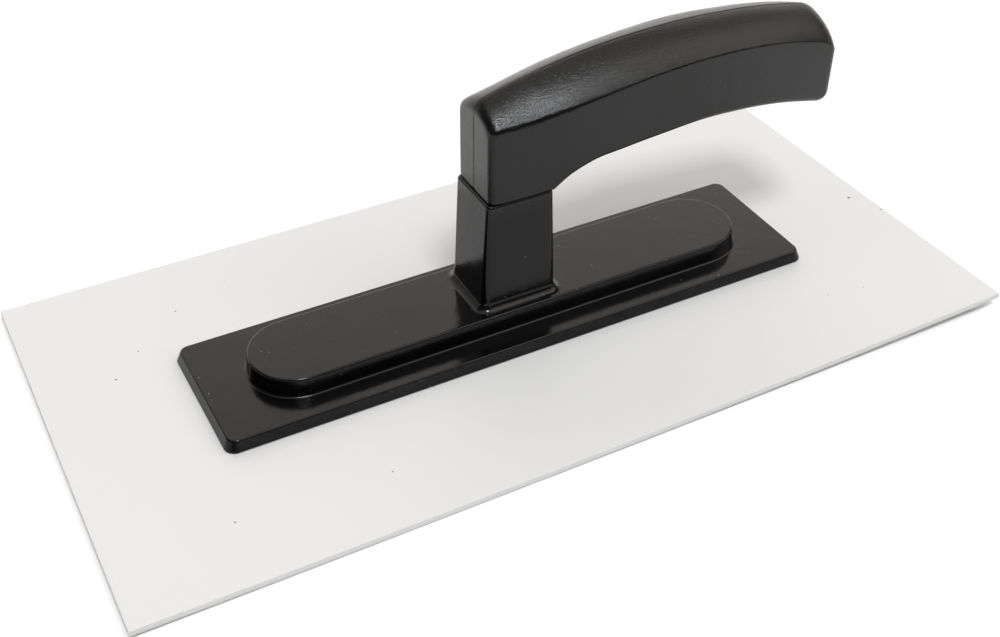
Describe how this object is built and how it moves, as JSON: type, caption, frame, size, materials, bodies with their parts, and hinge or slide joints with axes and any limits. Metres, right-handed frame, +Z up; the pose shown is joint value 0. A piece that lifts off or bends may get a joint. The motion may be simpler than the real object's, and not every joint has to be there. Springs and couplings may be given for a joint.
{
  "type": "plastering trowel",
  "caption": "Rectangular smooth plastic plastering trowel with a bonded ribbed base, a tapered post and an arched two-shell hand grip open at the front.",
  "frame": {"origin": "centre of the blade's underside", "axes": "+X along the blade towards the grip's free end, +Y across the blade, +Z up from the working face"},
  "size_m": [0.28, 0.14, 0.087],
  "materials": {
    "blade_plastic": "satin off-white plastic sheet, sawn edges",
    "adhesive": "cured black adhesive film",
    "base_plastic": "semi-gloss black moulded plastic",
    "grip_plastic": "black plastic with a fine spark-eroded grain"
  },
  "bodies": {
    "root": {"blade": "blade_plastic", "bond_layer": "adhesive", "base_moulding": "base_plastic", "grip_near_shell": "grip_plastic", "grip_far_shell": "grip_plastic"}
  },
  "joints": []
}
